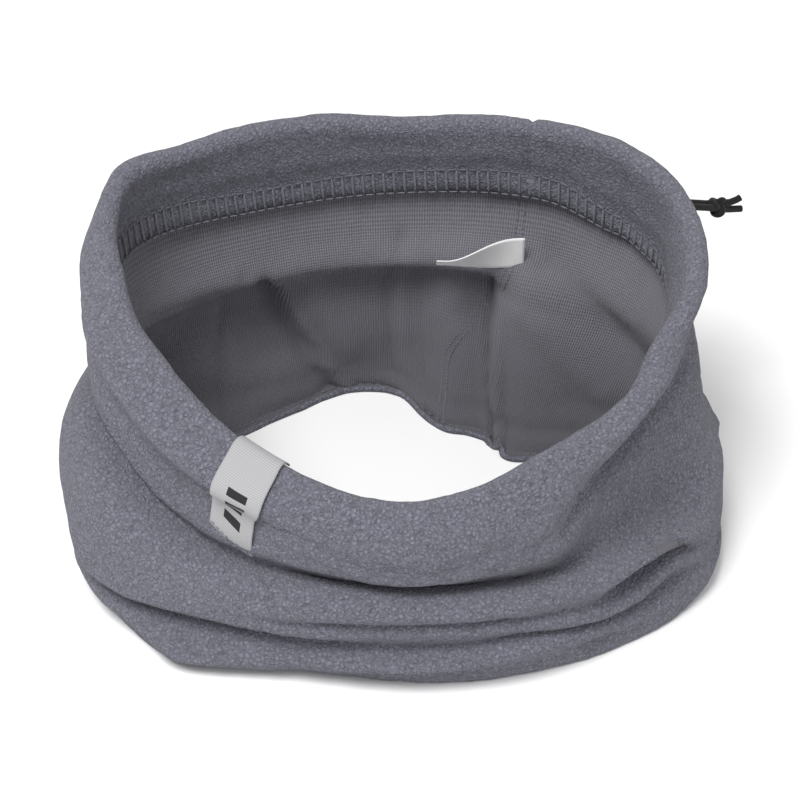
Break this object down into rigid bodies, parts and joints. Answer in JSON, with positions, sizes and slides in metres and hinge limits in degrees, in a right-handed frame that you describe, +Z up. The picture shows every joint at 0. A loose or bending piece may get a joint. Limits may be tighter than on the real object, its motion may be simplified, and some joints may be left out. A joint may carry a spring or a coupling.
{
  "type": "neck gaiter",
  "caption": "Slouching grey fleece neck tube with a turned hem that holds a drawcord, a sprung cord lock, a knotted cord end and sewn labels.",
  "frame": {"origin": "on the surface that the gaiter stands on, under the middle of the fleece's box, cord end left out", "axes": "+Z up to the rim, +X across the wide way towards the end where the cord comes out, +Y to the high back of the rim"},
  "size_m": [0.211, 0.1602, 0.1037],
  "materials": {
    "fleece": "brushed fleece, matt pile outside and smooth fine knit inside",
    "overlock_thread": "spun polyester overlock stitches",
    "hem_thread": "spun polyester thread",
    "woven_label": "woven damask label",
    "label_thread": "spun polyester thread",
    "satin_label": "printed satin ribbon, blank",
    "eyelet_steel": "blackened steel",
    "elastic_cord": "braided elastic cord",
    "lock_plastic": "moulded, fine satin texture",
    "button_plastic": "moulded, fine satin texture",
    "spring_steel": "drawn spring wire"
  },
  "bodies": {
    "gaiter": {"fleece_tube": "fleece", "hem_overlock_thread": "overlock_thread", "hem_topstitch_thread": "hem_thread", "bottom_hem_thread": "hem_thread", "back_seam_thread": "hem_thread", "brand_label": "woven_label", "brand_label_stitch": "label_thread", "cord_eyelet": "eyelet_steel", "drawcord_in_channel": "elastic_cord", "cord_strand_left": "elastic_cord", "cord_strand_right": "elastic_cord", "cord_knot": "elastic_cord", "cord_tail_left": "elastic_cord", "cord_tail_right": "elastic_cord"},
    "cord_lock": {"lock_barrel": "lock_plastic", "lock_spring": "spring_steel"},
    "lock_button": {"lock_plunger": "button_plastic"},
    "care_label": {"care_label": "satin_label"}
  },
  "joints": [
    {"name": "cord_lock_slide", "type": "slide", "parent": "gaiter", "child": "cord_lock", "axis": [0.8949, 0.3597, -0.2643], "range_m": [0, 0.01]},
    {"name": "lock_button_press", "type": "slide", "parent": "cord_lock", "child": "lock_button", "axis": [-0.2452, -0.0986, -0.9644], "range_m": [0, 0.002], "stiffness_N_per_m": 800, "springref_m": -0.001, "deforming": ["lock_spring"]},
    {"name": "care_label_swing", "type": "hinge", "parent": "gaiter", "child": "care_label", "pos_m": [0.04191, 0.06355, 0.057], "axis": [0, 0, 1], "range_deg": [0, 110]}
  ]
}
